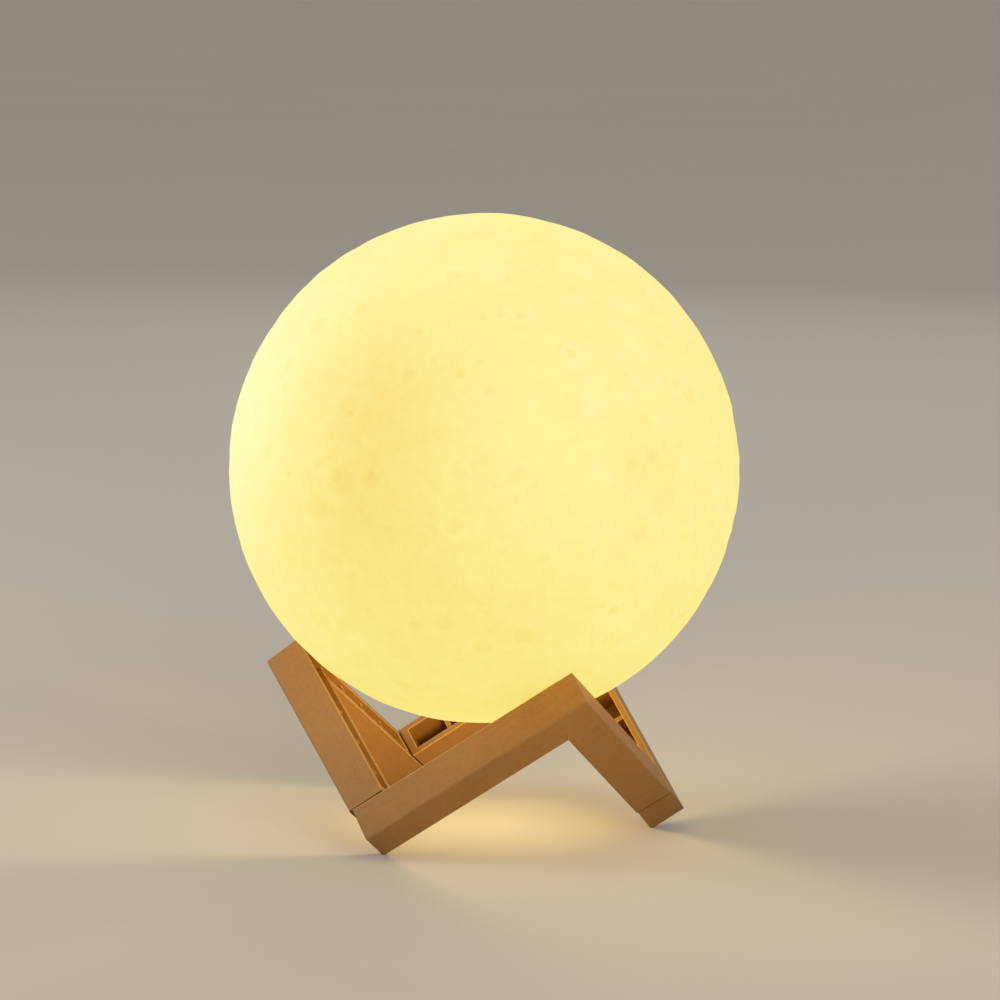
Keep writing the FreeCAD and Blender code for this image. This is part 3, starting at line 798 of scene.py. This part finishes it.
@dataclass
class MoonShell:
    """Printed hollow moon, replaced by a shell with an uneven, cratered outside."""

    TONE = "tone"
    # Pitch, in waves round the ball, and strength of the unevenness.
    SWELLS = ((3.0, 0.28), (8.0, 0.28), (18.0, 0.28), (36.0, 0.24), (68.0, 0.16))
    SWELL_WAVES = 7
    SWELL_TOTAL = 2.4

    node: str = "moon_shell"
    body: str = "globe"
    material_slot: str = "moon_print"
    radius: float = 75 * MM
    wall: float = 2 * MM
    flat_radius: float = 19.5 * MM
    recess_radius: float = 18.55 * MM
    recess_depth: float = 1.6 * MM
    neck_radius: float = 16.6 * MM
    neck_wall: float = 2 * MM
    neck_height: float = 8 * MM
    columns: int = 560
    rows: int = 300
    inner_rows: int = 40
    top_gap: float = 0.35
    inner_top: float = 0.02
    crater_count: int = 700
    crater_radius: float = 0.9 * MM
    crater_spread: tuple[float, float] = (0.08, 0.7)
    crater_depth: float = 0.085 * MM
    crater_growth: float = 0.10
    pit_reach: float = 1.9
    bowl_power: float = 0.8
    rim_share: float = 0.36
    rim_place: float = 1.08
    rim_width: float = 0.24
    unevenness: float = 0.30 * MM
    proud: float = 0.22 * MM
    rest_proud: float = 0.06 * MM
    rest_fall: float = 2.15
    fade: float = 0.06
    least_share: float = 1e-4
    tone: float = 0.53
    tone_per_depth: float = 0.60 / MM
    hidden_seas: int = 16
    hidden_reach: tuple[float, float] = (10.0, 24.0)
    hidden_paler: tuple[float, float] = (-0.22, -0.06)
    shown_side: float = 0.25
    seed: int = 11

    def centre(self) -> np.ndarray:
        """Middle of the ball in the part's frame, from the top of its node."""
        return np.array([0.0, 0.0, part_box(self.node)[1][2] - self.radius])

    def spot(self, photo: Photograph, across: float, down: float) -> np.ndarray:
        """Direction from the ball's middle to what a pixel shows.

        Args:
            photo: Viewpoint.
            across: Pixels from the left edge.
            down: Pixels from the top edge.

        Returns:
            Unit direction.
        """
        eye = Vector(photo.place) - Vector(self.centre())
        ray = photo.ray(across, down)
        half = eye.dot(ray)
        reach = -half - math.sqrt(max(half * half - eye.length_squared + self.radius ** 2, 0.0))
        return np.array((eye + ray * reach).normalized())

    def craters(self, photo: Photograph) -> tuple[np.ndarray, np.ndarray, np.ndarray]:
        """Places, radii and depths of all craters.

        Args:
            photo: Viewpoint that the seen craters are placed from.

        Returns:
            Unit directions, radii and depths, in metres.
        """
        rng = np.random.default_rng(self.seed)
        spots = rng.normal(size=(self.crater_count, 3))
        spots /= np.linalg.norm(spots, axis=1, keepdims=True)
        least, power = self.crater_spread
        radii = self.crater_radius / rng.uniform(least, 1.0, self.crater_count) ** power
        depths = self.crater_depth * (radii / MM) ** self.crater_growth
        depths *= rng.uniform(0.5, 1.5, self.crater_count)
        for crater in SEEN_CRATERS:
            spots = np.vstack([spots, self.spot(photo, crater.across, crater.down)])
            radii = np.append(radii, crater.radius * MM)
            depths = np.append(depths, crater.depth * MM)
        return spots, radii, depths

    def swell(self, ways: np.ndarray) -> np.ndarray:
        """Unevenness of the printed ball, broad and fine.

        Args:
            ways: Unit directions.

        Returns:
            Height at each direction, from about -1 to 1.
        """
        rng = np.random.default_rng(self.seed + 1)
        height = np.zeros(len(ways))
        for pitch, strength in self.SWELLS:
            for _ in range(self.SWELL_WAVES):
                way = rng.normal(size=3)
                way *= pitch / np.linalg.norm(way)
                start = rng.uniform(0, 2 * math.pi)
                height += strength / self.SWELL_TOTAL * np.sin(ways @ way + start)
        return height

    def pits(self, ways: np.ndarray, photo: Photograph) -> np.ndarray:
        """Bowls and rims of the craters.

        Args:
            ways: Unit directions.
            photo: Viewpoint that the seen craters are placed from.

        Returns:
            Height in metres at each direction.
        """
        height = np.zeros(len(ways))
        spots, radii, depths = self.craters(photo)
        for spot, radius, depth in zip(spots, radii, depths):
            off = np.arccos(np.clip(ways @ spot, -1.0, 1.0)) * self.radius / radius
            near = off < self.pit_reach
            bowl = -depth * np.clip(1.0 - off[near] ** 2, 0.0, 1.0) ** self.bowl_power
            rim = np.exp(-((off[near] - self.rim_place) / self.rim_width) ** 2)
            height[near] += bowl + self.rim_share * depth * rim
        return height

    def seas(self, photo: Photograph) -> list[tuple[np.ndarray, float, float]]:
        """Seas that the picture shows, one of them a paler patch of painted daylight, and others spread
        over the sides that it doesn't.

        Args:
            photo: Viewpoint that the seen seas are placed from.

        Returns:
            Unit direction, reach in degrees and paleness of each.
        """
        seas = [(self.spot(photo, sea.across, sea.down), sea.reach, sea.paler) for sea in SEEN_SEAS]
        rng = np.random.default_rng(self.seed + 2)
        towards = np.array((Vector(photo.place) - Vector(self.centre())).normalized())
        for _ in range(self.hidden_seas):
            spot = rng.normal(size=3)
            spot /= np.linalg.norm(spot)
            reach = rng.uniform(*self.hidden_reach)
            paler = rng.uniform(*self.hidden_paler)
            if spot @ towards < -self.shown_side:
                seas.append((spot, reach, paler))
        return seas

    def tones(self, ways: np.ndarray, pits: np.ndarray, photo: Photograph) -> np.ndarray:
        """Tone of the glow, from 0 for the deepest to 1 for the palest.

        Args:
            ways: Unit directions.
            pits: Height of the pits at each, in metres.
            photo: Viewpoint that the seen seas are placed from.

        Returns:
            Tone at each direction.
        """
        tone = self.tone + pits * self.tone_per_depth
        for spot, reach, paler in self.seas(photo):
            off = np.degrees(np.arccos(np.clip(ways @ spot, -1.0, 1.0)))
            tone += paler * np.exp(-(off / reach) ** 2)
        return tone

    def held(self, height: np.ndarray, ways: np.ndarray, falls: np.ndarray) -> np.ndarray:
        """Height kept inside the part's box, and low where the ball rests on the stand.

        Args:
            height: Height in metres at each direction.
            ways: Unit directions.
            falls: Angle of each from the top.

        Returns:
            Height in metres.
        """
        low, high = (np.array(corner) - self.centre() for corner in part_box(self.node))
        limits = np.where(ways > 0.0, high, -low)
        room = (limits / np.maximum(np.abs(ways), self.least_share)).min(axis=1) - self.radius
        most = np.where(falls > self.rest_fall, self.rest_proud, self.proud)
        fade = np.clip((falls.max() - falls) / self.fade, 0.0, 1.0)
        return np.minimum(height, np.minimum(room, most)) * fade

    def outer_ways(self) -> tuple[np.ndarray, np.ndarray]:
        """Latitudes and longitudes of the outer grid.

        Returns:
            Angle from the top for each row, and turn for each column.
        """
        last = math.pi - math.asin(self.flat_radius / self.radius)
        falls = np.linspace(self.top_gap / self.rows, last, self.rows)
        turns = np.linspace(0, 2 * math.pi, self.columns, endpoint=False)
        return falls, turns

    def rings(self, photo: Photograph) -> tuple[list[np.ndarray], list[np.ndarray]]:
        """Rings of points from the top over the outside, through the neck and up inside.

        Args:
            photo: Viewpoint that the seen craters are placed from.

        Returns:
            Rings of points and, for each, the tones there.
        """
        falls, turns = self.outer_ways()
        circle = np.stack([np.cos(turns), np.sin(turns), np.zeros_like(turns)], axis=1)
        up = np.array(UP)
        ways = np.concatenate([circle * math.sin(fall) + up * math.cos(fall) for fall in falls])
        pits = self.pits(ways, photo)
        height = self.held(self.swell(ways) * self.unevenness + pits, ways,
                           np.repeat(falls, self.columns))
        points = ways * (self.radius + height)[:, None]
        rings = list(points.reshape(self.rows, self.columns, 3))
        tones = list(self.tones(ways, pits, photo).reshape(self.rows, self.columns))
        flat = -math.sqrt(self.radius ** 2 - self.flat_radius ** 2)
        seat, collar = flat + self.recess_depth, self.neck_radius + self.neck_wall
        disc, inner = self.recess_radius + self.wall, self.radius - self.wall
        profile = [(self.recess_radius, flat), (self.recess_radius, seat), (self.neck_radius, seat),
                   (self.neck_radius, seat + self.neck_height), (collar, seat + self.neck_height),
                   (collar, seat + self.wall), (disc, seat + self.wall)]
        start = math.pi - math.asin(disc / inner)
        profile += [(inner * math.sin(fall), inner * math.cos(fall))
                    for fall in np.linspace(start, self.inner_top, self.inner_rows)]
        for reach, level in profile:
            rings.append(circle * reach + up * level)
            tones.append(np.full(self.columns, self.tone))
        return rings, tones

    def build(self, photo: Photograph) -> bpy.types.Object:
        """Make the shell, dress it and let it stand for the node.

        Args:
            photo: Viewpoint that the seen craters are placed from.

        Returns:
            The moon.
        """
        rings, tones = self.rings(photo)
        count = self.columns
        verts = np.concatenate(rings) + self.centre()
        columns = np.arange(count)
        following = (columns + 1) % count
        faces = []
        for row in range(len(rings) - 1):
            upper, lower = row * count, (row + 1) * count
            quads = np.stack([upper + columns, lower + columns, lower + following, upper + following], 1)
            faces += quads.tolist()
        faces.append(list(range(count)))
        faces.append(list(range(len(verts) - count, len(verts)))[::-1])
        mesh = bpy.data.meshes.new("moon")
        mesh.from_pydata(verts.tolist(), [], faces)
        layer = mesh.attributes.new(self.TONE, "FLOAT", "POINT")
        layer.data.foreach_set("value", np.concatenate(tones).astype(np.float32))
        mesh.polygons.foreach_set("use_smooth", [True] * len(mesh.polygons))
        mesh.update()
        moon = bpy.data.objects.new("moon", mesh)
        bpy.context.collection.objects.link(moon)
        moon.data.materials.append(GlowingPrint().make())
        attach(moon, self.body)
        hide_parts(self.node)
        LOG.info("moon: %d faces", len(faces))
        return moon


# ---------------------------------------------------------------- the stand


@dataclass
class Stand:
    """Three legs along the edges of a cube on its corner; each has its own grain direction."""

    THIRD = 120.0

    names: tuple[str, ...] = ("front", "right", "left")
    side: float = 75 * MM
    thick: float = 11.6 * MM
    worn: float = 0.8 * MM
    lean: float = 2.7
    bearings: tuple[float, float, float] = (210.0, 330.0, 90.0)

    def edges(self, turn: float) -> tuple[Vector, Vector, Vector]:
        """Directions of a leg's short arm, long arm and moon-facing side.

        Args:
            turn: Turn of the leg about the axis, in degrees.

        Returns:
            Three unit directions.
        """
        flat, rise = math.sqrt(2 / 3), math.sqrt(1 / 3)
        lean = Matrix.Rotation(math.radians(self.lean), 3, "X")
        around = Matrix.Rotation(math.radians(turn), 3, "Z")
        angles = (math.radians(bearing) for bearing in self.bearings)
        return tuple(around @ lean @ Vector((flat * math.cos(angle), flat * math.sin(angle), rise))
                     for angle in angles)

    def leg(self, turn: float) -> LegPlace:
        """Lie of one leg.

        Args:
            turn: Turn of the leg about the axis, in degrees.

        Returns:
            Its directions and the face of the next leg.
        """
        reach = (self.side - self.thick) * math.sqrt(2 / 3)
        angle = math.radians(self.bearings[0] + turn + self.THIRD)
        foot = Vector((reach * math.cos(angle), reach * math.sin(angle), -self.worn))
        next_face = self.edges(turn + self.THIRD)[2]
        return LegPlace(*self.edges(turn), next_face, next_face.dot(foot) + self.thick)

    def build(self) -> None:
        """Dress each leg in its own grained plastic."""
        for index, name in enumerate(self.names):
            leg = self.leg(self.THIRD * index)
            dress(f"stand_leg_{name}", GrainedPlastic(f"grained_plastic_{name}", leg))


# ---------------------------------------------------------------- the lamp module


@dataclass
class LampModule:
    """Cap, touch plate, socket, boards, cell and lights in the moon's neck."""

    white: Colour = (0.80, 0.80, 0.775)
    steel: Colour = (0.66, 0.66, 0.67)
    black: Colour = (0.022, 0.022, 0.024)
    brushed: Colour = (0.74, 0.73, 0.71)
    brass: Colour = (0.78, 0.58, 0.26)
    foil: Colour = (0.72, 0.73, 0.75)
    foam: Colour = (0.06, 0.06, 0.06)
    amber: Colour = (0.75, 0.28, 0.06)
    phosphor: Colour = (0.85, 0.66, 0.16)
    green: tuple[Colour, Colour] = ((0.012, 0.110, 0.040), (0.030, 0.200, 0.080))
    pale: tuple[Colour, Colour] = ((0.72, 0.72, 0.70), (0.60, 0.60, 0.58))
    wire: tuple[Colour, Colour] = ((0.42, 0.03, 0.02), (0.70, 0.70, 0.68))
    solder_height: float = 0.8 * MM

    def finishes(self) -> dict[str, Finish]:
        """Finish of each node of the module.

        Returns:
            Finishes by node name.
        """
        return {
            "base_housing": Moulding("white_moulding", self.white),
            "base_cover": Moulding("white_cover", shade(self.white, 1.03), 0.36),
            "control_board": CoatedBoard("green_board", *self.green),
            "control_chips": Moulding("black_packages", self.black, 0.45, 0.2 * MM),
            "touch_plate": DrawnMetal("touch_plate_metal", self.brushed, Axis.Y, 0.26),
            "touch_contact": DrawnMetal("contact_brass", self.brass, Axis.Z),
            "light_pipe": ClearRod("clear_pipe"),
            "charge_light": Moulding("amber_light", self.amber, 0.25),
            "socket_shell": DrawnMetal("socket_sheet", self.steel, Axis.X, 0.28),
            "socket_tongue": Moulding("socket_tongue_black", self.black, 0.5, 0.2 * MM),
            "battery_cell": DrawnMetal("cell_foil", self.foil, Axis.Z, 0.36),
            "battery_pad": Moulding("foam_pad", self.foam, 0.9, 0.4 * MM),
            "light_board": CoatedBoard("white_board", *self.pale),
            "light_chips": Moulding("phosphor", self.phosphor, 0.3, 0.3 * MM),
            "cover_screws": DrawnMetal("screw_zinc_cover", self.steel, Axis.Z),
            "board_screws": DrawnMetal("screw_zinc_board", self.steel, Axis.Z),
            "light_board_screws": DrawnMetal("screw_zinc_light", self.steel, Axis.Z),
            "battery_leads": CoveredWire("battery_lead_wire", *self.wire, *self.solder("control_board")),
            "light_leads": CoveredWire("light_lead_wire", *self.wire, *self.solder("light_board")),
        }

    def solder(self, board: str) -> tuple[float, float]:
        """Lowest and highest level of the solder on a board, in metres."""
        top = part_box(board)[1][2]
        return top, top + self.solder_height

    def build(self) -> None:
        """Dress every piece of the module."""
        for node, finish in self.finishes().items():
            dress(node, finish)


def dress(node: str, finish: Finish) -> None:
    """Give a node of the frame its finish.

    Args:
        node: Name of the node.
        finish: Finish that makes a material.
    """
    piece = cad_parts[node]
    material = finish.make()
    piece.data.materials.clear()
    piece.data.materials.append(material)
    LOG.info("%s: %s", node, material.name)


# ---------------------------------------------------------------- the studio


@dataclass(frozen=True)
class SoftBox:
    """Large soft lamp aimed at the moon."""

    name: str
    place: Triple
    side: float
    power: float
    colour: Colour = (1.0, 1.0, 1.0)
    spread: float = math.radians(150.0)

    def build(self, target: Vector) -> None:
        """Make the lamp.

        Args:
            target: Point that it faces.
        """
        data = bpy.data.lights.new(self.name, "AREA")
        data.shape = "SQUARE"
        data.size = self.side
        data.spread = self.spread
        data.energy = self.power
        data.color = self.colour
        lamp = bpy.data.objects.new(self.name, data)
        lamp.location = self.place
        lamp.rotation_euler = (target - lamp.location).to_track_quat("-Z", "Y").to_euler()
        bpy.context.collection.objects.link(lamp)


def hidden_bulb(name: str, place: Triple, radius: float) -> bpy.types.PointLight:
    """Round lamp that is not seen itself, by the camera or in a reflection.

    Args:
        name: Name of the lamp.
        place: Its middle.
        radius: Its size.

    Returns:
        Its data, which has no power or colour of its own yet.
    """
    data = bpy.data.lights.new(name, "POINT")
    data.shadow_soft_size = radius
    lamp = bpy.data.objects.new(name, data)
    lamp.location = place
    lamp.visible_camera = False
    lamp.visible_glossy = False
    bpy.context.collection.objects.link(lamp)
    return data


@dataclass(frozen=True)
class UnderGlow:
    """Even warm light under the moon, for what its underside sends into the stand."""

    name: str = "under_glow"
    place: Triple = (0.0, 0.0, 0.026)
    radius: float = 6 * MM
    power: float = 32.0
    colour: Colour = (1.0, 0.74, 0.38)

    def build(self) -> None:
        """Make the light, with a strength that doesn't fall off with distance."""
        data = hidden_bulb(self.name, self.place, self.radius)
        data.energy = 1.0
        data.use_nodes = True
        tree = data.node_tree
        emission = tree.nodes["Emission"]
        emission.inputs["Color"].default_value = (*self.colour, 1.0)
        even = tree.nodes.new("ShaderNodeLightFalloff")
        even.inputs["Strength"].default_value = self.power
        tree.links.new(even.outputs["Constant"], emission.inputs["Strength"])


@dataclass(frozen=True)
class BallGlow:
    """Light that the whole ball sends out past what its surface shows, with no shadow of its own."""

    name: str = "ball_glow"
    place: Triple = (0.0, 0.0, 0.1066)
    radius: float = 60 * MM
    power: float = 0.6
    colour: Colour = (1.0, 0.50, 0.08)

    def build(self) -> None:
        """Make the light, which nothing shades."""
        data = hidden_bulb(self.name, self.place, self.radius)
        data.energy = self.power
        data.color = self.colour
        data.use_shadow = False


@dataclass
class Studio:
    """Pale floor, soft lamps and an even pale surrounding."""

    floor_side: float = 40.0
    floor_colour: Colour = (0.60, 0.540, 0.450)
    floor_cloud: float = 0.3
    sky: Colour = (0.93, 0.94, 0.96)
    sky_strength: float = 0.51
    seen_sky: Colour = (0.292, 0.300, 0.268)
    aim: Triple = (0.0, 0.0, 0.09)
    lamps: tuple[SoftBox, ...] = (
        SoftBox("window_left", (-1.15, 0.80, 0.75), 1.0, 5.6, (0.95, 0.97, 1.0)),
        SoftBox("front_fill", (-0.2, -1.9, 0.78), 1.2, 9.2),
        SoftBox("back_fill", (0.9, 1.2, 0.90), 1.0, 1.7),
    )

    def floor(self) -> None:
        """Make the floor that the lamp stands on."""
        half = self.floor_side / 2
        corners = [(-half, -half, 0), (half, -half, 0), (half, half, 0), (-half, half, 0)]
        mesh = bpy.data.meshes.new("floor")
        mesh.from_pydata(corners, [], [(0, 1, 2, 3)])
        floor = bpy.data.objects.new("floor", mesh)
        bpy.context.collection.objects.link(floor)
        graph = Graph("pale_floor")
        clouds = graph.noise(graph.place(), self.floor_cloud)
        colour = graph.ramp(clouds, (0.3, shade(self.floor_colour, 0.98)), (0.7, self.floor_colour))
        mesh.materials.append(graph.surface(Base_Color=colour, Roughness=0.85, Specular_IOR_Level=0.1))

    def world(self) -> None:
        """Make the even surrounding, seen in the tone of the far floor."""
        world = bpy.data.worlds.new("studio")
        world.use_nodes = True
        tree = world.node_tree
        light = tree.nodes["Background"]
        light.inputs["Color"].default_value = (*self.sky, 1.0)
        light.inputs["Strength"].default_value = self.sky_strength
        seen = tree.nodes.new("ShaderNodeBackground")
        seen.inputs["Color"].default_value = (*self.seen_sky, 1.0)
        path = tree.nodes.new("ShaderNodeLightPath")
        direct = path.outputs["Is Camera Ray"]
        for other in ("Is Glossy Ray", "Is Transmission Ray"):
            either = tree.nodes.new("ShaderNodeMath")
            either.operation = "MAXIMUM"
            tree.links.new(direct, either.inputs[0])
            tree.links.new(path.outputs[other], either.inputs[1])
            direct = either.outputs["Value"]
        mixed = tree.nodes.new("ShaderNodeMixShader")
        tree.links.new(direct, mixed.inputs["Fac"])
        tree.links.new(light.outputs["Background"], mixed.inputs[1])
        tree.links.new(seen.outputs["Background"], mixed.inputs[2])
        tree.links.new(mixed.outputs["Shader"], tree.nodes["World Output"].inputs["Surface"])
        bpy.context.scene.world = world

    def build(self) -> None:
        """Make the floor, the surrounding and the lamps."""
        self.floor()
        self.world()
        for lamp in self.lamps:
            lamp.build(Vector(self.aim))
        UnderGlow().build()
        BallGlow().build()


def main() -> None:
    """Build the lamp's looks and the studio."""
    logging.basicConfig(level=logging.INFO, format="%(name)s: %(message)s")
    photo = Photograph()
    MoonShell().build(photo)
    Stand().build()
    LampModule().build()
    Studio().build()
    photo.build()
    bpy.context.scene.view_settings.view_transform = "Standard"
    bpy.context.view_layer.update()


if __name__ == "__main__":
    main()
